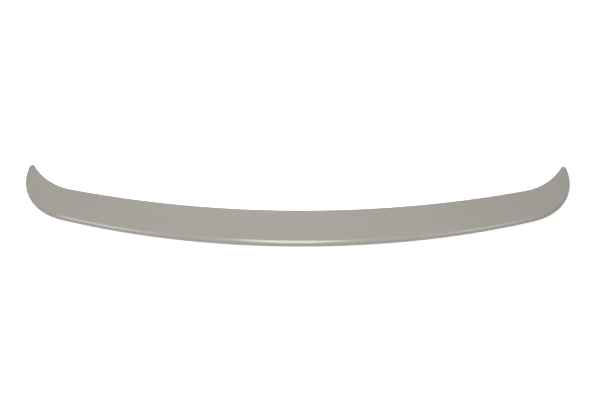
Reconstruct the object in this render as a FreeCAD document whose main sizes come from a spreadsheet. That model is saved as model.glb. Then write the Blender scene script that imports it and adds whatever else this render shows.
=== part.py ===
# A trunk lip spoiler: one plastic moulding that is bonded flat onto the rear edge of a boot lid.
# +X runs to the right along the span, +Y points to the front of the car and +Z is up.
# The origin lies in the bonding face, on the centreline, midway along the centre section.
import FreeCAD, Part
import Sketcher
import math
import os

NODE = "spoiler_body"

doc = FreeCAD.newDocument("trunk_spoiler")

# Driving dimensions, in millimetres and degrees.
SIZES = (
    ("overall_width", 1160, "between the outermost points of the two ends"),
    ("overall_depth", 210, "from the trailing edge at the centre to the tips of the horns"),
    ("centre_chord", 98, "from trailing edge to leading edge on the centreline"),
    ("trailing_bow_radius", 1910, "bow of the trailing edge in plan"),
    ("leading_bow_radius", 2290, "bow of the leading edge in plan"),
    ("corner_radius", 120, "outer corner in plan, from the bow to the tip of the horn"),
    ("horn_radius", 127, "inner curve in plan, from the leading edge to the tip of the horn"),
    ("tip_radius", 6.5, "round of the horn's tip in plan"),
    ("lip_height", 28, "top of the lip above the bonding face on the centreline"),
    ("corner_lip_height", 25, "top of the lip where the corner starts"),
    ("tip_height", 7, "top of the horn at its tip"),
    ("nose_radius", 7.5, "round of the trailing lip in section"),
    ("tip_round", 2.2, "round of the top edges at the tip in section"),
    ("leading_thickness", 4, "thickness at the leading edge"),
    ("leading_round", 2.5, "round of the leading edge in section"),
    ("rear_lean", 32, "lean of the rear face under the lip, from upright"),
    ("top_hollow_radius", 450, "hollow of the top face in section"),
    ("wall_thickness", 3.5, "top wall over the hollow underneath"),
    ("front_land", 22, "bonding land in front of the hollow"),
    ("rear_land", 10, "bonding land behind the hollow"),
    ("rib_thickness", 3, "cross ribs in the hollow"),
    ("rib_clearance", 1, "gap between the ribs and the bonding plane"),
    ("rib_root", 1.5, "depth that a rib runs into the walls around it"),
    ("trim_allowance", 3, "depth that is drawn below the bonding plane and cut away flat"),
)

sizes = doc.addObject("Spreadsheet::Sheet", "sizes")
for row, (alias, value, note) in enumerate(SIZES, start=1):
    sizes.set(f"A{row}", alias)
    sizes.set(f"B{row}", str(value))
    sizes.setAlias(f"B{row}", alias)
    sizes.set(f"C{row}", note)
doc.recompute()

# Values worked out from the driving dimensions: where the arcs of the plan start, end and turn.
plan = doc.addObject("App::VarSet", "plan")


def work_out(name, expression):
    """Add a value to the plan that follows the driving dimensions."""
    plan.addProperty("App::PropertyFloat", name, "plan")
    plan.setExpression(name, expression)


work_out("trailing_y", "-sizes.centre_chord / 2")
work_out("leading_y", "sizes.centre_chord / 2")

# The outer corner is an arc inside the trailing bow that reaches the full half width.
work_out("corner_x", "sizes.overall_width / 2 - sizes.corner_radius")
work_out("bow_reach", "sizes.trailing_bow_radius - sizes.corner_radius")
work_out("bow_heading", "asin(plan.corner_x / plan.bow_reach) / 1 deg")
work_out("corner_y",
         "plan.trailing_y + sizes.trailing_bow_radius - plan.bow_reach * cos(plan.bow_heading)")

# The tip is a small circle inside the corner's arc, as far forward as the overall depth says.
work_out("tip_reach", "sizes.corner_radius - sizes.tip_radius")
work_out("tip_y", "plan.trailing_y + sizes.overall_depth - sizes.tip_radius")
work_out("tip_lean", "asin((plan.tip_y - plan.corner_y) / plan.tip_reach) / 1 deg")
work_out("tip_x", "plan.corner_x + plan.tip_reach * cos(plan.tip_lean)")

# The horn's inner arc lies inside the leading bow and touches the tip's circle from outside.
work_out("bow_centre_y", "plan.leading_y + sizes.leading_bow_radius")
work_out("horn_reach", "sizes.leading_bow_radius - sizes.horn_radius")
work_out("horn_touch", "sizes.horn_radius + sizes.tip_radius")
work_out("tip_distance", "hypot(plan.tip_x; plan.bow_centre_y - plan.tip_y)")
work_out("horn_along",
         "(plan.horn_reach ^ 2 - plan.horn_touch ^ 2 + plan.tip_distance ^ 2) / (2 * plan.tip_distance)")
work_out("horn_aside", "sqrt(plan.horn_reach ^ 2 - plan.horn_along ^ 2)")
work_out("tip_bearing", "atan2(plan.tip_x; plan.bow_centre_y - plan.tip_y) / 1 deg")
work_out("horn_x",
         "plan.horn_along * sin(plan.tip_bearing) - plan.horn_aside * cos(plan.tip_bearing)")
work_out("horn_y",
         "plan.bow_centre_y - plan.horn_along * cos(plan.tip_bearing)"
         " - plan.horn_aside * sin(plan.tip_bearing)")
work_out("leading_heading", "atan2(plan.horn_x; plan.bow_centre_y - plan.horn_y) / 1 deg")
work_out("horn_heading", "atan2(plan.tip_x - plan.horn_x; plan.horn_y - plan.tip_y) / 1 deg")
work_out("tip_middle", "(plan.tip_lean + 90 + plan.horn_heading) / 2")
work_out("tip_spread", "(90 + plan.horn_heading - plan.tip_lean) / 2")


def add_station(name, rear, front, lip, nose, thickness, leading, lean):
    """Add one station of the right half: where its section stands in plan, and its sizes."""
    work_out(f"rear_x_{name}", rear[0])
    work_out(f"rear_y_{name}", rear[1])
    work_out(f"front_x_{name}", front[0])
    work_out(f"front_y_{name}", front[1])
    run = f"plan.front_x_{name} - plan.rear_x_{name}"
    rise = f"plan.front_y_{name} - plan.rear_y_{name}"
    work_out(f"chord_{name}", f"hypot({run}; {rise})")
    work_out(f"turn_{name}", f"atan2({rise}; {run}) / 1 deg")
    work_out(f"lip_{name}", lip)
    work_out(f"nose_{name}", nose)
    work_out(f"thickness_{name}", thickness)
    work_out(f"leading_{name}", leading)
    work_out(f"lean_{name}", lean)
    return name


def bow_station(name, share):
    """A station of the bow, at a share of the way from the centreline to the corner."""
    rear_heading = f"({share} * plan.bow_heading)"
    front_heading = f"({share} * plan.leading_heading)"
    rear = (f"sizes.trailing_bow_radius * sin{rear_heading}",
            f"plan.trailing_y + sizes.trailing_bow_radius * (1 - cos{rear_heading})")
    front = (f"sizes.leading_bow_radius * sin{front_heading}",
             f"plan.leading_y + sizes.leading_bow_radius * (1 - cos{front_heading})")
    lip = ("sizes.corner_lip_height"
           f" + (sizes.lip_height - sizes.corner_lip_height) * (1 + cos(180 * {share})) / 2")
    return add_station(name, rear, front, lip, "sizes.nose_radius", "sizes.leading_thickness",
                       "sizes.leading_round", "sizes.rear_lean")


def corner_station(name, share):
    """A station of the corner and horn, at a share of the way from the bow to the tip."""
    rear_heading = f"(plan.bow_heading + {share} * (90 + plan.tip_lean - plan.bow_heading))"
    front_heading = f"(plan.leading_heading + {share} * (plan.horn_heading - plan.leading_heading))"
    rear = (f"plan.corner_x + sizes.corner_radius * sin{rear_heading}",
            f"plan.corner_y - sizes.corner_radius * cos{rear_heading}")
    front = (f"plan.horn_x + sizes.horn_radius * sin{front_heading}",
             f"plan.horn_y - sizes.horn_radius * cos{front_heading}")

    def eased(first, last):
        return f"{first} + ({last} - {first}) * (1 - cos(180 * {share})) / 2"

    return add_station(name, rear, front,
                       eased("sizes.corner_lip_height", "sizes.tip_height"),
                       eased("sizes.nose_radius", "sizes.tip_round"),
                       eased("sizes.leading_thickness", "sizes.tip_height"),
                       eased("sizes.leading_round", "sizes.tip_round"),
                       eased("sizes.rear_lean", "0"))


def tip_station(name, share):
    """A station across the round tip, at a share of the way from its tangents to its apex."""
    spread = f"({1 - share:.2f} * plan.tip_spread)"
    shrink = f"(sin{spread} / sin(plan.tip_spread))"
    rear = (f"plan.tip_x + sizes.tip_radius * cos(plan.tip_middle - {spread})",
            f"plan.tip_y + sizes.tip_radius * sin(plan.tip_middle - {spread})")
    front = (f"plan.tip_x + sizes.tip_radius * cos(plan.tip_middle + {spread})",
             f"plan.tip_y + sizes.tip_radius * sin(plan.tip_middle + {spread})")
    height = f"sizes.tip_height - sizes.tip_round * (1 - {shrink})"
    edge = f"sizes.tip_round * {shrink}"
    return add_station(name, rear, front, height, edge, height, edge, "0")


# Stations of the right half, as shares of their stretch: closer together where the plan turns.
BOW_SHARES = (0, 0.25, 0.5, 0.7, 0.82, 0.9, 0.955, 1)
CORNER_SHARES = (0.11, 0.22, 0.33, 0.44, 0.55, 0.66, 0.77, 0.87, 0.95, 1)
TIP_SHARES = (0.4, 0.7, 0.9)
HOLLOW_CORNER_COUNT = 3
RIB_SHARES = (0, 0.2, 0.4, 0.6, 0.8, 1)

bow_stations = [bow_station(f"bow_{number}", share) for number, share in enumerate(BOW_SHARES)]
corner_stations = [corner_station(f"corner_{number}", share)
                   for number, share in enumerate(CORNER_SHARES)]
tip_stations = [tip_station(f"tip_{number}", share) for number, share in enumerate(TIP_SHARES)]
rib_stations = [bow_station(f"rib_{number}", share) for number, share in enumerate(RIB_SHARES)]
doc.recompute()

body = doc.addObject("PartDesign::Body", NODE)
body.Label = NODE
origin_planes = {feature.Role: feature for feature in body.Origin.OriginFeatures}


def whole_span(stations):
    """List the stations of both halves from left to right, as pairs of name and side."""
    left = [(name, -1) for name in reversed(stations[1:])]
    right = [(name, 1) for name in stations]
    return left + right


def stand_sketch(label, station, side):
    """Add an upright sketch at a station, with its x along the chord and its y upwards."""
    sketch = body.newObject("Sketcher::SketchObject", label)
    sketch.AttachmentSupport = [(origin_planes["XZ_Plane"], "")]
    sketch.MapMode = "FlatFace"
    upright = FreeCAD.Vector(0, 1, 0)
    turn = plan.getPropertyByName(f"turn_{station}")
    start_turn = turn if side > 0 else 180 - turn
    sketch.AttachmentOffset = FreeCAD.Placement(FreeCAD.Vector(),
                                                FreeCAD.Rotation(upright, start_turn))
    sketch.setExpression("AttachmentOffset.Base.x", f"{side} * plan.rear_x_{station}")
    sketch.setExpression("AttachmentOffset.Base.z", f"-plan.rear_y_{station}")
    turn_expression = f"plan.turn_{station}" if side > 0 else f"180 - plan.turn_{station}"
    sketch.setExpression("AttachmentOffset.Rotation.Angle", turn_expression)
    return sketch


def constrain(sketch, name, expression, kind, *places):
    """Add a named dimension to a sketch and bind it to an expression."""
    value = float(plan.evalExpression(expression))
    if kind == "Angle":
        value = math.radians(value)
    index = sketch.addConstraint(Sketcher.Constraint(kind, *places, value))
    sketch.renameConstraint(index, name)
    sketch.setExpression(f"Constraints.{name}", expression)


# How a sketch numbers its horizontal axis, which starts at its origin, and the points of a curve.
ORIGIN = -1
START, END, CENTRE = range(1, 4)


def draw_section(sketch, station, construction=False):
    """Draw the outer section: flat foot, thin leading edge, hollow top, round lip, leaning back."""
    chord = plan.getPropertyByName(f"chord_{station}")
    lip = plan.getPropertyByName(f"lip_{station}")
    nose = plan.getPropertyByName(f"nose_{station}")
    thickness = plan.getPropertyByName(f"thickness_{station}")
    leading = plan.getPropertyByName(f"leading_{station}")
    lean = math.radians(plan.getPropertyByName(f"lean_{station}"))
    below = -sizes.trim_allowance
    up = FreeCAD.Vector(0, 0, 1)

    nose_centre = FreeCAD.Vector(nose, lip - nose, 0)
    leading_centre = FreeCAD.Vector(chord - leading, thickness - leading, 0)
    across = leading_centre - nose_centre
    nose_reach = sizes.top_hollow_radius + nose
    leading_reach = sizes.top_hollow_radius + leading
    along = (across.Length ** 2 + nose_reach ** 2 - leading_reach ** 2) / (2 * across.Length)
    above = math.sqrt(nose_reach ** 2 - along ** 2)
    unit = across / across.Length
    top_centre = nose_centre + unit * along + up.cross(unit) * above

    def bearing(start, end):
        return math.atan2(end.y - start.y, end.x - start.x)

    back = nose_centre + FreeCAD.Vector(-nose * math.cos(lean), -nose * math.sin(lean), 0)
    heel = FreeCAD.Vector(back.x + (back.y - below) * math.tan(lean), below, 0)
    toe = FreeCAD.Vector(chord, below, 0)
    brow = FreeCAD.Vector(chord, leading_centre.y, 0)
    nose_circle = Part.Circle(nose_centre, up, nose)
    leading_circle = Part.Circle(leading_centre, up, leading)
    top_circle = Part.Circle(top_centre, up, sizes.top_hollow_radius)

    foot = sketch.addGeometry(Part.LineSegment(heel, toe), construction)
    front = sketch.addGeometry(Part.LineSegment(toe, brow), construction)
    edge = sketch.addGeometry(
        Part.ArcOfCircle(leading_circle, 0, bearing(leading_centre, top_centre)), construction)
    top = sketch.addGeometry(
        Part.ArcOfCircle(top_circle, bearing(top_centre, nose_centre) + 2 * math.pi,
                         bearing(top_centre, leading_centre) + 2 * math.pi), construction)
    tail = sketch.addGeometry(
        Part.ArcOfCircle(nose_circle, bearing(nose_centre, top_centre), math.pi + lean), construction)
    rear = sketch.addGeometry(Part.LineSegment(heel, back), construction)

    sketch.addConstraint([
        Sketcher.Constraint("Coincident", foot, START, rear, START),
        Sketcher.Constraint("Coincident", foot, END, front, START),
        Sketcher.Constraint("Horizontal", foot),
        Sketcher.Constraint("Vertical", front),
        Sketcher.Constraint("Tangent", front, END, edge, START),
        Sketcher.Constraint("Tangent", edge, END, top, END),
        Sketcher.Constraint("Tangent", top, START, tail, START),
        Sketcher.Constraint("Tangent", tail, END, rear, END),
    ])
    constrain(sketch, "trim", "sizes.trim_allowance", "DistanceY", foot, START, ORIGIN, START)
    constrain(sketch, "chord", f"plan.chord_{station}", "DistanceX", ORIGIN, START, foot, END)
    constrain(sketch, "leading_radius", f"plan.leading_{station}", "Radius", edge)
    constrain(sketch, "leading_rise", f"plan.thickness_{station} - plan.leading_{station}",
              "DistanceY", ORIGIN, START, edge, CENTRE)
    constrain(sketch, "nose_radius", f"plan.nose_{station}", "Radius", tail)
    constrain(sketch, "nose_setback", f"plan.nose_{station}",
              "DistanceX", ORIGIN, START, tail, CENTRE)
    constrain(sketch, "nose_rise", f"plan.lip_{station} - plan.nose_{station}",
              "DistanceY", ORIGIN, START, tail, CENTRE)
    constrain(sketch, "rear_slope", f"90 + plan.lean_{station}", "Angle", rear)
    constrain(sketch, "top_radius", "sizes.top_hollow_radius", "Radius", top)
    return {"foot": foot, "top": top, "rear": rear, "top_centre": top_centre, "toe": toe, "heel": heel}


def draw_hollow(sketch, station, root, floor):
    """Draw the space under the top wall, between the lands, grown into the walls by root."""
    outer = draw_section(sketch, station, construction=True)
    root_size = float(plan.evalExpression(root))
    floor_rise = float(plan.evalExpression(floor))
    lean = math.radians(plan.getPropertyByName(f"lean_{station}"))
    heel_x = outer["heel"].x - sizes.trim_allowance * math.tan(lean)
    rear_x = heel_x + sizes.rear_land - root_size
    front_x = outer["toe"].x - sizes.front_land + root_size
    radius = sizes.top_hollow_radius + sizes.wall_thickness - root_size
    centre = outer["top_centre"]

    def under(x):
        return FreeCAD.Vector(x, centre.y - math.sqrt(radius ** 2 - (x - centre.x) ** 2), 0)

    rear_top = under(rear_x)
    front_top = under(front_x)
    rear_foot = FreeCAD.Vector(rear_x, floor_rise, 0)
    front_foot = FreeCAD.Vector(front_x, floor_rise, 0)
    rear_angle = math.atan2(rear_top.y - centre.y, rear_top.x - centre.x) + 2 * math.pi
    front_angle = math.atan2(front_top.y - centre.y, front_top.x - centre.x) + 2 * math.pi
    circle = Part.Circle(centre, FreeCAD.Vector(0, 0, 1), radius)

    base = sketch.addGeometry(Part.LineSegment(rear_foot, front_foot))
    front = sketch.addGeometry(Part.LineSegment(front_foot, front_top))
    ceiling = sketch.addGeometry(Part.ArcOfCircle(circle, rear_angle, front_angle))
    back = sketch.addGeometry(Part.LineSegment(rear_top, rear_foot))
    heel = sketch.addGeometry(Part.Point(FreeCAD.Vector(heel_x, 0, 0)), True)

    sketch.addConstraint([
        Sketcher.Constraint("Coincident", base, END, front, START),
        Sketcher.Constraint("Coincident", front, END, ceiling, END),
        Sketcher.Constraint("Coincident", ceiling, START, back, START),
        Sketcher.Constraint("Coincident", back, END, base, START),
        Sketcher.Constraint("Horizontal", base),
        Sketcher.Constraint("Vertical", front),
        Sketcher.Constraint("Vertical", back),
        Sketcher.Constraint("Coincident", ceiling, CENTRE, outer["top"], CENTRE),
        Sketcher.Constraint("PointOnObject", heel, START, outer["rear"]),
        Sketcher.Constraint("PointOnObject", heel, START, ORIGIN),
    ])
    constrain(sketch, "floor_rise", floor, "DistanceY", ORIGIN, START, base, START)
    constrain(sketch, "ceiling_radius", f"sizes.top_hollow_radius + sizes.wall_thickness - {root}",
              "Radius", ceiling)
    constrain(sketch, "front_land", f"sizes.front_land - {root}",
              "DistanceX", base, END, outer["foot"], END)
    constrain(sketch, "rear_land", f"sizes.rear_land - {root}",
              "DistanceX", heel, START, base, START)


def add_loft(kind, label, sketches):
    """Loft a solid through sketches, in their order, and add it to the body or cut it away."""
    loft = body.newObject(kind, label)
    loft.Profile = sketches[0]
    loft.Sections = sketches[1:]
    doc.recompute()
    return loft


# The outer form, lofted from the left tip to the right one.
skin_sketches = []
for station, side in whole_span(bow_stations + corner_stations + tip_stations):
    sketch = stand_sketch(f"section_{'left' if side < 0 else 'right'}_{station}", station, side)
    draw_section(sketch, station)
    skin_sketches.append(sketch)
doc.recompute()
skin = add_loft("PartDesign::AdditiveLoft", "skin", skin_sketches)
print("skin volume", round(skin.Shape.Volume), "valid", skin.Shape.isValid())

# The bonding face: everything below the bonding plane is cut away flat.
trim_sketch = body.newObject("Sketcher::SketchObject", "bonding_plane")
trim_sketch.AttachmentSupport = [(origin_planes["XY_Plane"], "")]
trim_sketch.MapMode = "FlatFace"
corners = [FreeCAD.Vector(x * sizes.overall_width, y * sizes.overall_depth, 0)
           for x, y in ((-1, -1), (1, -1), (1, 1), (-1, 1))]
sides = [trim_sketch.addGeometry(Part.LineSegment(corners[number], corners[(number + 1) % 4]))
         for number in range(4)]
trim_sketch.addConstraint(
    [Sketcher.Constraint("Coincident", sides[number], END, sides[(number + 1) % 4], START)
     for number in range(4)]
    + [Sketcher.Constraint("Horizontal", sides[0]), Sketcher.Constraint("Vertical", sides[1]),
       Sketcher.Constraint("Horizontal", sides[2]), Sketcher.Constraint("Vertical", sides[3]),
       Sketcher.Constraint("Symmetric", sides[0], START, sides[1], END, ORIGIN, START)])
constrain(trim_sketch, "width", "2 * sizes.overall_width", "DistanceX", sides[0], START, sides[0], END)
constrain(trim_sketch, "depth", "2 * sizes.overall_depth", "DistanceY", sides[1], START, sides[1], END)
trim = body.newObject("PartDesign::Pocket", "bonding_face")
trim.Profile = trim_sketch
trim.setExpression("Length", "2 * sizes.trim_allowance")
doc.recompute()
trimmed_box = trim.Shape.optimalBoundingBox(False)
print("trimmed volume", round(trim.Shape.Volume), "height", round(trimmed_box.ZLength, 3))

# The hollow under the top wall, between the front and rear lands.
hollow_sketches = []
for station, side in whole_span(bow_stations + corner_stations[:HOLLOW_CORNER_COUNT]):
    sketch = stand_sketch(f"hollow_{'left' if side < 0 else 'right'}_{station}", station, side)
    draw_hollow(sketch, station, "0", "-sizes.trim_allowance")
    hollow_sketches.append(sketch)
doc.recompute()
hollow = add_loft("PartDesign::SubtractiveLoft", "hollow", hollow_sketches)
print("hollowed volume", round(hollow.Shape.Volume))

# Cross ribs that tie the top wall to both lands.
for station, side in whole_span(rib_stations):
    label = f"{'left' if side < 0 else 'right'}_{station}"
    sketch = stand_sketch(f"outline_{label}", station, side)
    draw_hollow(sketch, station, "sizes.rib_root", "sizes.rib_clearance")
    rib = body.newObject("PartDesign::Pad", f"rib_{label}")
    rib.Profile = sketch
    rib.SideType = "Symmetric"
    rib.setExpression("Length", "sizes.rib_thickness")
    doc.recompute()
    print(label, "volume", round(rib.Shape.Volume))

# Nothing is written unless every object is up to date and the solid is sound.
for item in doc.Objects:
    if "Invalid" in item.State or "Error" in item.State:
        raise RuntimeError(f"{item.Name} failed: {item.State}")
if body.Shape.isNull() or not body.Shape.isValid() or len(body.Shape.Solids) != 1:
    raise RuntimeError("the moulding is not one sound solid")
box = body.Shape.optimalBoundingBox(False)
print("size", round(box.XLength, 2), round(box.YLength, 2), round(box.ZLength, 2))
print("volume in cubic centimetres", round(body.Shape.Volume / 1000, 1), "faces", len(body.Shape.Faces))

os.makedirs("parts", exist_ok=True)
body.Shape.exportStep(f"parts/{body.Label}.step")
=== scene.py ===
# %% [markdown]
# A trunk lip spoiler, modelled and finished in Blender.
# The object is one plastic moulding, sprayed in satin grey primer, that is bonded to the rear edge
# of a boot lid. It is a long bowed strip: thin at the front, raised to a rounded lip at the back,
# with ends that sweep forward into two horns.
# The solid that comes with this lesson already has the right size and place. Its mesh is made of
# loose triangles, though, and its edges are as sharp as a drawing. Here the same form is modelled
# again in even rings of quads, so that light runs smoothly along the lip, and then it is painted,
# lit and set in front of a camera.

# %% Load the solid and keep its box
import bmesh
import bpy
import math
from mathutils import Matrix, Vector
from mathutils.bvhtree import BVHTree


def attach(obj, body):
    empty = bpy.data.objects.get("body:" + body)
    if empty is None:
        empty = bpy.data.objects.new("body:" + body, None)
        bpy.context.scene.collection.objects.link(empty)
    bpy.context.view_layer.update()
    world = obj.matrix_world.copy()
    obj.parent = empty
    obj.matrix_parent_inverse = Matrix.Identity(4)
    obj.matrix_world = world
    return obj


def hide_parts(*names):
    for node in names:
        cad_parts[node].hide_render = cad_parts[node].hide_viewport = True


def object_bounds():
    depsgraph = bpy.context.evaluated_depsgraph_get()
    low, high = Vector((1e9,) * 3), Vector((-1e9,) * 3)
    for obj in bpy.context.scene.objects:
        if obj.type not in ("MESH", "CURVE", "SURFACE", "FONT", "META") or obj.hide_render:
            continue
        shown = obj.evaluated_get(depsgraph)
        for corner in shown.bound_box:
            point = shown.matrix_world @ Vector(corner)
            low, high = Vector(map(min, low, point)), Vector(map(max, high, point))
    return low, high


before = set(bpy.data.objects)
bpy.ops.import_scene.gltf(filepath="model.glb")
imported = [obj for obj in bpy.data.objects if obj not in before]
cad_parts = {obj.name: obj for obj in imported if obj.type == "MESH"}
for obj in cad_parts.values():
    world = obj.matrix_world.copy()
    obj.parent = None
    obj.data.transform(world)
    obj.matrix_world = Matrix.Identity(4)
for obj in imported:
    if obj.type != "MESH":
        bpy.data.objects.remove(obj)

cad_low, cad_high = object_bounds()
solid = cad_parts["spoiler_body"]
print("solid:", len(solid.data.polygons), "triangles, size",
      [round(side, 4) for side in cad_high - cad_low])

# %% [markdown]
# The plan comes first, because everything else stands on it. Seen from above, the trailing edge is
# a wide bow that turns into a corner arc, the leading edge is a flatter bow that turns into the
# horn's inner arc, and a small circle rounds the tip where they meet. Points could be traced one by
# one, but arcs that touch without a kink need only their radii, so the centres are worked out here.
# Headings are measured from straight right, turning towards the front.

# %% Plan: centres and headings of the arcs
MM = 0.001
TRAILING_BOW = 1910 * MM
LEADING_BOW = 2290 * MM
CORNER_ARC = 120 * MM
HORN_ARC = 127 * MM
TIP_ARC = 6.5 * MM

half_span = (cad_high.x - cad_low.x) / 2
trailing_y = cad_low.y
leading_y = -cad_low.y

corner_reach = TRAILING_BOW - CORNER_ARC
bow_heading = math.asin((half_span - CORNER_ARC) / corner_reach)
corner_centre = Vector((half_span - CORNER_ARC,
                        trailing_y + TRAILING_BOW - corner_reach * math.cos(bow_heading)))

tip_reach = CORNER_ARC - TIP_ARC
tip_lean = math.asin((cad_high.y - TIP_ARC - corner_centre.y) / tip_reach)
tip_centre = corner_centre + tip_reach * Vector((math.cos(tip_lean), math.sin(tip_lean)))

leading_centre = Vector((0, leading_y + LEADING_BOW))
to_tip = tip_centre - leading_centre
horn_reach = LEADING_BOW - HORN_ARC
horn_along = (horn_reach ** 2 - (HORN_ARC + TIP_ARC) ** 2 + to_tip.length_squared) / (2 * to_tip.length)
horn_aside = math.sqrt(horn_reach ** 2 - horn_along ** 2)
along_tip = to_tip.normalized()
horn_centre = leading_centre + horn_along * along_tip + horn_aside * Vector((along_tip.y, -along_tip.x))
leading_heading = math.atan2(horn_centre.x, leading_centre.y - horn_centre.y)
horn_heading = math.atan2(tip_centre.x - horn_centre.x, horn_centre.y - tip_centre.y)
print("corner turns from", round(math.degrees(bow_heading), 1), "to",
      round(90 + math.degrees(tip_lean), 1), "degrees, horn from",
      round(math.degrees(leading_heading), 1), "to", round(math.degrees(horn_heading), 1))

# %% [markdown]
# A station is a place along the half span where an upright section is drawn, from a point on the
# trailing edge to a point on the leading edge. The bow keeps one section that only loses a little
# height. Round the corner, the lip sinks, its round gets tighter and the leaning back stands up,
# until the tip has the same small round all about. A cosine eases each of these, because a straight
# change would show as a crease in the reflection.

# %% Stations of the bow
LIP_HEIGHT = cad_high.z
CORNER_LIP_HEIGHT = 25 * MM
TIP_HEIGHT = 7 * MM
NOSE_ROUND = 7.5 * MM
TIP_ROUND = 2.2 * MM
LEADING_THICKNESS = 4 * MM
LEADING_ROUND = 2.5 * MM
REAR_LEAN = math.radians(32)


def on_arc(centre, radius, heading):
    """A point of the plan on an arc, where the arc runs in the given heading."""
    return centre + radius * Vector((math.sin(heading), -math.cos(heading)))


def eased(first, last, share):
    """A value part way from first to last, slow at both ends."""
    return first + (last - first) * (1 - math.cos(math.pi * share)) / 2


def bow_station(share):
    """Where the section stands, and its sizes, part way from the centreline to the corner."""
    rear = on_arc(Vector((0, trailing_y + TRAILING_BOW)), TRAILING_BOW, share * bow_heading)
    front = on_arc(leading_centre, LEADING_BOW, share * leading_heading)
    return {"rear": rear, "front": front, "lip": eased(LIP_HEIGHT, CORNER_LIP_HEIGHT, share),
            "nose": NOSE_ROUND, "thickness": LEADING_THICKNESS, "leading": LEADING_ROUND,
            "lean": REAR_LEAN}


print("lip half way along the bow in mm:", round(bow_station(0.5)["lip"] / MM, 1))

# %% Stations of the corner and the tip
def corner_station(share):
    """The same, part way from the corner's start to the tip."""
    rear_heading = bow_heading + share * (math.pi / 2 + tip_lean - bow_heading)
    front_heading = leading_heading + share * (horn_heading - leading_heading)
    return {"rear": on_arc(corner_centre, CORNER_ARC, rear_heading),
            "front": on_arc(horn_centre, HORN_ARC, front_heading),
            "lip": eased(CORNER_LIP_HEIGHT, TIP_HEIGHT, share),
            "nose": eased(NOSE_ROUND, TIP_ROUND, share),
            "thickness": eased(LEADING_THICKNESS, TIP_HEIGHT, share),
            "leading": eased(LEADING_ROUND, TIP_ROUND, share),
            "lean": eased(REAR_LEAN, 0, share)}


def tip_station(share):
    """The same, part way from the tangents of the tip's round to its apex."""
    middle = (tip_lean + math.pi / 2 + horn_heading) / 2
    full_spread = (math.pi / 2 + horn_heading - tip_lean) / 2
    spread = full_spread * (1 - share)
    shrink = math.sin(spread) / math.sin(full_spread)
    height = TIP_HEIGHT - TIP_ROUND * (1 - shrink)
    sides = [tip_centre + TIP_ARC * Vector((math.cos(angle), math.sin(angle)))
             for angle in (middle - spread, middle + spread)]
    return {"rear": sides[0], "front": sides[1], "lip": height, "nose": TIP_ROUND * shrink,
            "thickness": height, "leading": TIP_ROUND * shrink, "lean": 0}


print("lip half way round the corner in mm:", round(corner_station(0.5)["lip"] / MM, 1))

# %% All stations of the half span
BOW_STEPS = 64
CORNER_STEPS = 56
TIP_STEPS = 10
TIP_END = 0.97
stations = [bow_station(step / BOW_STEPS) for step in range(BOW_STEPS + 1)]
stations += [corner_station(step / CORNER_STEPS) for step in range(1, CORNER_STEPS + 1)]
stations += [tip_station(TIP_END * step / TIP_STEPS) for step in range(1, TIP_STEPS + 1)]
print("stations on the half span:", len(stations))

# %% [markdown]
# The section itself is one closed outline: the flat foot, the thin leading edge, the hollow top, the
# rounded lip and the face that leans back under it. All of it is straight lines and arcs that touch.
# The mould leaves a small round where the foot meets the faces, and that round catches the light, so
# it is drawn here as well. Every outline has the same number of points, so that rings of
# neighbouring stations join in clean quads.

# %% Section: its lines and arcs, and where they touch
TOP_HOLLOW = 450 * MM


def arc(centre, radius, start, end, count):
    """Points along an arc, both ends included."""
    angles = [start + (end - start) * step / (count - 1) for step in range(count)]
    return [centre + radius * Vector((math.cos(angle), math.sin(angle))) for angle in angles]


def line(start, end, count):
    """Points along a straight line, without its ends."""
    return [start.lerp(end, step / (count + 1)) for step in range(1, count + 1)]


def bearing(start, end):
    """The angle at which one point sees another."""
    return math.atan2(end.y - start.y, end.x - start.x)


def chord_of(station):
    """The section's length, from trailing edge to leading edge."""
    return (station["front"] - station["rear"]).length


def top_centre_of(station):
    """The centre of the arc that hollows the top, which touches the rounds at both edges."""
    nose = Vector((station["nose"], station["lip"] - station["nose"]))
    leading = Vector((chord_of(station) - station["leading"],
                      station["thickness"] - station["leading"]))
    across = leading - nose
    nose_reach = TOP_HOLLOW + station["nose"]
    leading_reach = TOP_HOLLOW + station["leading"]
    along = (across.length_squared + nose_reach ** 2 - leading_reach ** 2) / (2 * across.length)
    above = math.sqrt(nose_reach ** 2 - along ** 2)
    unit = across.normalized()
    return nose + along * unit + above * Vector((-unit.y, unit.x))


def heel_of(station):
    """How far the leaning back meets the foot from the trailing edge."""
    lean = station["lean"]
    nose = station["nose"]
    back_height = station["lip"] - nose - nose * math.sin(lean)
    return nose - nose * math.cos(lean) + back_height * math.tan(lean)


print("chord on the centreline in mm:", round(chord_of(stations[0]) / MM, 1), "with the heel at",
      round(heel_of(stations[0]) / MM, 1))

# %% Section: one closed outline of points
FOOT_ROUND = 0.6 * MM
FOOT_SHARE = 0.15
FOOT_POINTS = 9
FOOT_ROUND_POINTS = 4
LEADING_POINTS = 10
TOP_POINTS = 32
NOSE_POINTS = 26
REAR_POINTS = 7


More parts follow.
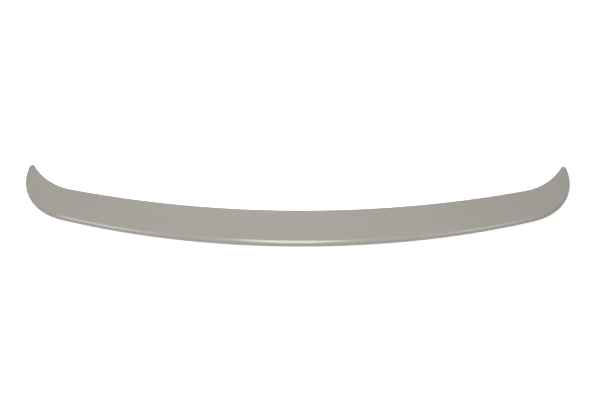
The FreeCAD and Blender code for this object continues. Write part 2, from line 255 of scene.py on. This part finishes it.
def outline(station):
    """The section's outline: along the foot, up the front, over the top and down the back."""
    chord = chord_of(station)
    lean = station["lean"]
    foot_round = min(FOOT_ROUND, FOOT_SHARE * chord)
    nose_centre = Vector((station["nose"], station["lip"] - station["nose"]))
    edge_centre = Vector((chord - station["leading"], station["thickness"] - station["leading"]))
    top_centre = top_centre_of(station)
    heel_set = foot_round * (1 - math.sin(lean)) / math.cos(lean)
    heel_centre = Vector((heel_of(station) + heel_set, foot_round))
    toe_centre = Vector((chord - foot_round, foot_round))
    full_turn = 2 * math.pi

    heel = arc(heel_centre, foot_round, math.pi + lean, 1.5 * math.pi, FOOT_ROUND_POINTS)
    toe = arc(toe_centre, foot_round, -math.pi / 2, 0, FOOT_ROUND_POINTS)
    edge = arc(edge_centre, station["leading"], 0, bearing(edge_centre, top_centre), LEADING_POINTS)
    top = arc(top_centre, TOP_HOLLOW, bearing(top_centre, edge_centre) + full_turn,
              bearing(top_centre, nose_centre) + full_turn, TOP_POINTS)[1:-1]
    nose = arc(nose_centre, station["nose"], bearing(nose_centre, top_centre), math.pi + lean,
               NOSE_POINTS)
    foot = line(heel[-1], toe[0], FOOT_POINTS)
    back = line(nose[-1], heel[0], REAR_POINTS)
    return heel + foot + toe + edge + top + nose + back


print("points in an outline:", len(outline(stations[0])))

# %% [markdown]
# Now the ring grows into the moulding. A circle of as many points is laid on the first outline, on
# the centreline, and extruded from station to station, as one would pull a section along by hand.
# Each point carries its number in an attribute, which extruding copies, so a fresh ring knows where
# its points belong. The last ring is closed with a face, and a mirror makes the other half. A loft
# through curves would be quicker to draw, but its quads would not follow the lip as evenly.

# %% Extrude the rings
POINT_NUMBER = "outline_point"
MERGE_DISTANCE = 0.01 * MM


def stand(station, point):
    """The place in space of a point of a section: along the chord and up."""
    chord = (station["front"] - station["rear"]).normalized()
    place = station["rear"] + point.x * chord
    return Vector((place.x, place.y, point.y))


def set_ring(mesh, station, points):
    """Lay the selected ring of a mesh in edit mode on a station's points."""
    edit = bmesh.from_edit_mesh(mesh)
    number = edit.verts.layers.int[POINT_NUMBER]
    for vertex in edit.verts:
        if vertex.select:
            vertex.co = stand(station, points[vertex[number]])
    bmesh.update_edit_mesh(mesh)


def pull_section(name, rings):
    """Extrude a section along a list of stations and points, close its end and mirror it."""
    bpy.ops.object.select_all(action="DESELECT")
    bpy.ops.mesh.primitive_circle_add(vertices=len(rings[0][1]), radius=half_span)
    piece = bpy.context.object
    piece.name = name
    numbers = piece.data.attributes.new(POINT_NUMBER, "INT", "POINT")
    for index in range(len(piece.data.vertices)):
        numbers.data[index].value = index
    bpy.ops.object.mode_set(mode="EDIT")
    bpy.ops.mesh.select_all(action="SELECT")
    set_ring(piece.data, *rings[0])
    for station, points in rings[1:]:
        bpy.ops.mesh.extrude_region_move()
        set_ring(piece.data, station, points)
    bpy.ops.mesh.edge_face_add()
    bpy.ops.object.mode_set(mode="OBJECT")
    mirror = piece.modifiers.new("other_half", "MIRROR")
    mirror.merge_threshold = MERGE_DISTANCE
    bpy.ops.object.modifier_apply(modifier=mirror.name)
    bpy.ops.object.mode_set(mode="EDIT")
    bpy.ops.mesh.select_all(action="SELECT")
    bpy.ops.mesh.normals_make_consistent(inside=False)
    bpy.ops.object.mode_set(mode="OBJECT")
    piece.data.attributes.remove(piece.data.attributes[POINT_NUMBER])
    return piece


moulding = pull_section("spoiler_moulding", [(station, outline(station)) for station in stations])
print("moulding:", len(moulding.data.vertices), "points,", len(moulding.data.polygons), "faces")

# %% [markdown]
# Two finishes are needed. Outside, the moulding is sprayed with a satin primer, a warm grey that is
# even from a distance and has a fine spray grain close up. Inside the hollow the spray gun hardly
# reaches, so the plastic stays bare: a bit darker, duller and coarser. Both get their unevenness from
# one node group. It gives a tone, which drifts slowly over the part with the grain on top, a gloss
# that drifts with it, and a height for the grain. Painting it into an image would do too, but noise
# in the object's own coordinates needs no unwrapping and stays sharp at any distance.

# %% Node group: uneven tone and grain
CLOUD_SCALE = 6
CLOUD_DETAIL = 3
GRAIN_DETAIL = 2
GLOSS_SPREAD = 0.5


def add_node(tree, kind, settings, values):
    """Add a node to a tree, with its settings and the values of its inputs."""
    node = tree.nodes.new(kind)
    for key, value in settings.items():
        setattr(node, key, value)
    for key, value in values.items():
        node.inputs[key].default_value = value
    return node


texture = bpy.data.node_groups.new("uneven_plastic", "ShaderNodeTree")
for name in ("Grain Scale", "Tone Spread"):
    texture.interface.new_socket(name, in_out="INPUT", socket_type="NodeSocketFloat")
for name in ("Tone", "Dullness", "Height"):
    texture.interface.new_socket(name, in_out="OUTPUT", socket_type="NodeSocketFloat")
group_in = texture.nodes.new("NodeGroupInput")
group_out = texture.nodes.new("NodeGroupOutput")
place = texture.nodes.new("ShaderNodeTexCoord")
cloud = add_node(texture, "ShaderNodeTexNoise", {}, {"Scale": CLOUD_SCALE, "Detail": CLOUD_DETAIL})
grain = add_node(texture, "ShaderNodeTexNoise", {}, {"Detail": GRAIN_DETAIL})
# Each noise hovers about a half, so both together hover about one.
both = add_node(texture, "ShaderNodeMath", {"operation": "ADD"}, {})
centred = add_node(texture, "ShaderNodeMath", {"operation": "SUBTRACT"}, {1: 1})
tone = add_node(texture, "ShaderNodeMath", {"operation": "MULTIPLY_ADD"}, {2: 1})
dullness = add_node(texture, "ShaderNodeMath", {"operation": "MULTIPLY_ADD"},
                    {1: GLOSS_SPREAD, 2: 1 - GLOSS_SPREAD / 2})
texture.links.new(place.outputs["Object"], cloud.inputs["Vector"])
texture.links.new(place.outputs["Object"], grain.inputs["Vector"])
texture.links.new(group_in.outputs["Grain Scale"], grain.inputs["Scale"])
texture.links.new(cloud.outputs["Fac"], both.inputs[0])
texture.links.new(grain.outputs["Fac"], both.inputs[1])
texture.links.new(both.outputs[0], centred.inputs[0])
texture.links.new(centred.outputs[0], tone.inputs[0])
texture.links.new(group_in.outputs["Tone Spread"], tone.inputs[1])
texture.links.new(cloud.outputs["Fac"], dullness.inputs[0])
texture.links.new(tone.outputs[0], group_out.inputs["Tone"])
texture.links.new(dullness.outputs[0], group_out.inputs["Dullness"])
texture.links.new(grain.outputs["Fac"], group_out.inputs["Height"])
print("group:", texture.name)

# %% [markdown]
# Each finish is one plain shader that the group makes uneven. The colour and the gloss are written
# once and multiplied by the group's values, which stay close to one, and the height goes through a
# bump, because the grain is far too fine to model. Separate node trees would give the same picture,
# but a function shows at a glance in which few values the two finishes differ.

# %% Primer outside, bare plastic inside
RESIN_IOR = 1.55
PRIMER = {"color": (0.328, 0.310, 0.276), "roughness": 0.17, "grain": 900, "spread": 0.05,
          "depth": 0.006 * MM}
BARE_PLASTIC = {"color": (0.30, 0.285, 0.255), "roughness": 0.5, "grain": 500, "spread": 0.12,
                "depth": 0.03 * MM}


def make_finish(name, finish):
    """Make a plastic's material from its colour, gloss and grain."""
    material = bpy.data.materials.new(name)
    material.use_nodes = True
    tree = material.node_tree
    shader = tree.nodes["Principled BSDF"]
    shader.inputs["IOR"].default_value = RESIN_IOR
    uneven = add_node(tree, "ShaderNodeGroup", {"node_tree": texture},
                      {"Grain Scale": finish["grain"], "Tone Spread": finish["spread"]})
    color = add_node(tree, "ShaderNodeVectorMath", {"operation": "SCALE"}, {0: finish["color"]})
    gloss = add_node(tree, "ShaderNodeMath", {"operation": "MULTIPLY"}, {1: finish["roughness"]})
    bump = add_node(tree, "ShaderNodeBump", {}, {"Distance": finish["depth"]})
    tree.links.new(uneven.outputs["Tone"], color.inputs["Scale"])
    tree.links.new(color.outputs["Vector"], shader.inputs["Base Color"])
    tree.links.new(uneven.outputs["Dullness"], gloss.inputs[0])
    tree.links.new(gloss.outputs[0], shader.inputs["Roughness"])
    tree.links.new(uneven.outputs["Height"], bump.inputs["Height"])
    tree.links.new(bump.outputs["Normal"], shader.inputs["Normal"])
    return material


primer = make_finish("satin_primer", PRIMER)
bare_plastic = make_finish("bare_plastic", BARE_PLASTIC)
moulding.data.materials.append(primer)
print("finishes:", primer.name, bare_plastic.name)

# %% [markdown]
# Underneath, the moulding is hollow: a block of plastic this thick would sink as it cools. The space
# follows the top at an even wall and leaves a land at the front and the back for the bonding tape.
# A Solidify modifier would give an even wall too, but it would leave no lands, so the space is drawn
# as a section of its own and pulled along the span like the moulding itself.

# %% The space underneath
WALL = 3.5 * MM
FRONT_LAND = 22 * MM
REAR_LAND = 10 * MM
BELOW_FOOT = 3 * MM
HOLLOW_CORNER_END = 0.33
HOLLOW_CORNER_STEPS = 18
HOLLOW_WALL_POINTS = 4
CEILING_POINTS = 24


def hollow_outline(station):
    """The outline of the space under the top wall, open below the foot."""
    centre = top_centre_of(station)
    radius = TOP_HOLLOW + WALL
    rear_x = heel_of(station) + REAR_LAND
    front_x = chord_of(station) - FRONT_LAND
    rear_angle = -math.acos((rear_x - centre.x) / radius)
    front_angle = -math.acos((front_x - centre.x) / radius)
    rear_foot = Vector((rear_x, -BELOW_FOOT))
    front_foot = Vector((front_x, -BELOW_FOOT))
    ceiling = arc(centre, radius, front_angle, rear_angle, CEILING_POINTS)
    front_wall = line(front_foot, ceiling[0], HOLLOW_WALL_POINTS)
    rear_wall = line(ceiling[-1], rear_foot, HOLLOW_WALL_POINTS)
    return [rear_foot, front_foot] + front_wall + ceiling + rear_wall


hollow_stations = stations[:BOW_STEPS + 1]
hollow_stations += [corner_station(HOLLOW_CORNER_END * step / HOLLOW_CORNER_STEPS)
                    for step in range(1, HOLLOW_CORNER_STEPS + 1)]
hollow = pull_section("hollow_space",
                      [(station, hollow_outline(station)) for station in hollow_stations])
hollow.data.materials.append(bare_plastic)
print("space underneath:", len(hollow.data.polygons), "faces")

# %% [markdown]
# Cross ribs tie the thin top wall to both lands. They are taken out of the space as plain slabs
# before the space is cut away. Ribs could also be added afterwards, but cutting them out of the space
# first leaves one clean skin, with no faces hidden inside the walls.

# %% Take the ribs out of the space, and the space out of the moulding
RIB_SHARES = (0, 0.2, 0.4, 0.6, 0.8, 1)
RIB_THICKNESS = 3 * MM
RIB_CLEARANCE = 1 * MM


def add_rib(share, side):
    """Add an upright slab across the space at a share of the bow, right or left."""
    station = bow_station(share)
    middle = (station["rear"] + station["front"]) / 2
    turn = bearing(station["rear"], station["front"]) - math.pi / 2
    bpy.ops.mesh.primitive_cube_add(
        size=1, location=(side * middle.x, middle.y, RIB_CLEARANCE + LIP_HEIGHT / 2),
        rotation=(0, 0, side * turn), scale=(RIB_THICKNESS, chord_of(station), LIP_HEIGHT))
    return bpy.context.object


def cut(piece, tool):
    """Cut a tool's shape out of a piece and delete the tool."""
    bpy.ops.object.select_all(action="DESELECT")
    bpy.context.view_layer.objects.active = piece
    piece.select_set(True)
    boolean = piece.modifiers.new("cut", "BOOLEAN")
    boolean.operation = "DIFFERENCE"
    boolean.solver = "EXACT"
    boolean.material_mode = "TRANSFER"
    boolean.object = tool
    bpy.ops.object.modifier_apply(modifier=boolean.name)
    bpy.data.objects.remove(tool, do_unlink=True)


bpy.ops.object.select_all(action="DESELECT")
slabs = [add_rib(RIB_SHARES[0], 1)]
slabs += [add_rib(share, side) for share in RIB_SHARES[1:] for side in (-1, 1)]
for slab in slabs:
    slab.data.materials.append(bare_plastic)
    slab.select_set(True)
bpy.context.view_layer.objects.active = slabs[0]
bpy.ops.object.join()
bpy.ops.object.transform_apply(location=True, rotation=True, scale=True)
cut(hollow, bpy.context.object)
cut(moulding, hollow)
print("hollowed moulding:", len(moulding.data.polygons), "faces")

# %% [markdown]
# The rings are close enough together to be shaded smooth, and only the rims of the hollow stay
# crisp. Then the new mesh is held against the solid it stands for: every point should lie on it, to
# within the fineness of the solid's own triangles.

# %% Smooth the shading and compare with the solid
SMOOTH_ANGLE = math.radians(32)
bpy.ops.object.select_all(action="DESELECT")
moulding.select_set(True)
bpy.context.view_layer.objects.active = moulding
bpy.ops.object.shade_smooth_by_angle(angle=SMOOTH_ANGLE)

solid_tree = BVHTree.FromPolygons([vertex.co for vertex in solid.data.vertices],
                                  [polygon.vertices for polygon in solid.data.polygons])
apart = [solid_tree.find_nearest(vertex.co)[3] for vertex in moulding.data.vertices]
moulding.data.calc_loop_triangles()
print("triangles:", len(moulding.data.loop_triangles), "mean distance from the solid in mm:",
      round(sum(apart) / len(apart) / MM, 3), "largest:", round(max(apart) / MM, 3))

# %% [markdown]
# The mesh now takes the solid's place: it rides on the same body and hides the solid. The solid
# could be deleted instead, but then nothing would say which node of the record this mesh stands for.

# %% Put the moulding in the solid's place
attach(moulding, "root")
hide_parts("spoiler_body")
print("in the place of", solid.name + ":", moulding.name)

# %% [markdown]
# The floor is a sheet of white paper. A photograph for a catalogue is exposed until its paper is
# pure white, and one way to the same look is to let the paper glow where the camera sees it, by
# itself or in a reflection. The glow is weaker near the spoiler, so that its shadow still shows, and
# grows with the distance, so that the far paper doesn't turn grey at the horizon.

# %% Rays by which the paper is seen
def seen_rays(tree):
    """Add a value that is one for rays from the camera, in reflections and through glass."""
    path = tree.nodes.new("ShaderNodeLightPath")
    mirrored = add_node(tree, "ShaderNodeMath", {"operation": "MAXIMUM"}, {})
    seen = add_node(tree, "ShaderNodeMath", {"operation": "MAXIMUM"}, {})
    tree.links.new(path.outputs["Is Glossy Ray"], mirrored.inputs[0])
    tree.links.new(path.outputs["Is Transmission Ray"], mirrored.inputs[1])
    tree.links.new(path.outputs["Is Camera Ray"], seen.inputs[0])
    tree.links.new(mirrored.outputs[0], seen.inputs[1])
    return seen.outputs[0]


paper = bpy.data.materials.new("white_paper")
paper.use_nodes = True
paper_tree = paper.node_tree
paper_is_seen = seen_rays(paper_tree)
print("nodes in the paper so far:", len(paper_tree.nodes))

# %% White paper floor
PAPER_SIZE = 30
PAPER_WHITE = 0.8
PAPER_GLOW = 0.7
GLOW_START = 0.7
GLOW_END = 2.5

bpy.ops.object.select_all(action="DESELECT")
bpy.ops.mesh.primitive_plane_add(size=PAPER_SIZE)
floor = bpy.context.object
floor.name = "studio_floor"
paper_shader = paper_tree.nodes["Principled BSDF"]
paper_shader.inputs["Base Color"].default_value = (PAPER_WHITE, PAPER_WHITE, PAPER_WHITE, 1)
paper_shader.inputs["Roughness"].default_value = 1
paper_shader.inputs["Specular IOR Level"].default_value = 0
paper_shader.inputs["Emission Color"].default_value = (1, 1, 1, 1)
paper_place = paper_tree.nodes.new("ShaderNodeTexCoord")
paper_distance = add_node(paper_tree, "ShaderNodeVectorMath", {"operation": "LENGTH"}, {})
paper_glow = add_node(paper_tree, "ShaderNodeMapRange", {},
                      {"From Min": GLOW_START, "From Max": GLOW_END, "To Min": PAPER_GLOW})
seen_glow = add_node(paper_tree, "ShaderNodeMath", {"operation": "MULTIPLY"}, {})
paper_tree.links.new(paper_place.outputs["Object"], paper_distance.inputs[0])
paper_tree.links.new(paper_distance.outputs["Value"], paper_glow.inputs["Value"])
paper_tree.links.new(paper_glow.outputs["Result"], seen_glow.inputs[0])
paper_tree.links.new(paper_is_seen, seen_glow.inputs[1])
paper_tree.links.new(seen_glow.outputs[0], paper_shader.inputs["Emission Strength"])
floor.data.materials.append(paper)
print("floor:", floor.name)

# %% [markdown]
# Behind the paper, the world is white to the eye and only dim as a light, so that nearly all of the
# light comes from lamps. The photograph tells where those were. The bright stretch of the lip is the
# mirror image of a long softbox overhead, a little left of the middle, and two faint stretches
# nearer the ends are the images of others that stand left and right on the camera's side. The middle
# one does most of the work, which is why the ends are darker. It reaches past the camera's line of
# sight, so the lamps are hidden from the camera itself.

# %% World and softboxes
WORLD_LIGHT = 0.04
LAMP_HEIGHT = 1.4
SOFTBOXES = {
    "middle_softbox": {"x": -0.04, "y": 0.1, "turn": 0, "width": 0.38, "depth": 2.7, "watts": 25.2},
    "left_softbox": {"x": -1.27, "y": -1.2, "turn": -22, "width": 0.45, "depth": 1.9, "watts": 16},
    "right_softbox": {"x": 1.18, "y": -1.2, "turn": 22, "width": 0.45, "depth": 1.9, "watts": 10},
}

world = bpy.data.worlds.new("studio")
bpy.context.scene.world = world
world.use_nodes = True
background = world.node_tree.nodes["Background"]
background.inputs["Color"].default_value = (1, 1, 1, 1)
world_light = add_node(world.node_tree, "ShaderNodeMapRange", {}, {"To Min": WORLD_LIGHT, "To Max": 1})
world.node_tree.links.new(seen_rays(world.node_tree), world_light.inputs["Value"])
world.node_tree.links.new(world_light.outputs["Result"], background.inputs["Strength"])

for name, box in SOFTBOXES.items():
    bpy.ops.object.light_add(type="AREA", location=(box["x"], box["y"], LAMP_HEIGHT))
    lamp = bpy.context.object
    lamp.name = name
    lamp.rotation_euler.z = math.radians(box["turn"])
    lamp.data.shape = "RECTANGLE"
    lamp.data.size = box["width"]
    lamp.data.size_y = box["depth"]
    lamp.data.energy = box["watts"]
    lamp.visible_camera = False
    print(name, box["watts"], "W")

# %% [markdown]
# The camera looks down on the lip from behind the car, from well above. Its height was found by
# comparing outlines: from lower down the horns would look shorter and the band thinner, and from
# straight above the lip's rounded back would not show at all. A long lens from a couple of metres
# away keeps both ends nearly the same size as the middle. The photograph gives the focal length in
# its own pixels, and the width of the sensor turns that into millimetres.

# %% Camera
ELEVATION = math.radians(57.0)
DISTANCE = 2.4
TARGET = Vector((0.0047, 0.0766, 0))
ROLL = math.radians(0.186)
FRAME_PIXELS = 600
FOCAL_PIXELS = 1134.6
SENSOR_WIDTH = 36

view = Vector((0, math.cos(ELEVATION), -math.sin(ELEVATION)))
bpy.ops.object.camera_add(location=TARGET - DISTANCE * view)
camera = bpy.context.object
camera.data.sensor_width = SENSOR_WIDTH
camera.data.lens = SENSOR_WIDTH * FOCAL_PIXELS / FRAME_PIXELS
upright = view.to_track_quat("-Z", "Y").to_matrix()
camera.rotation_euler = (upright @ Matrix.Rotation(ROLL, 3, "Z")).to_euler()
bpy.context.scene.camera = camera
bpy.context.scene.view_settings.view_transform = "Standard"
print("lens:", round(camera.data.lens, 1), "mm")
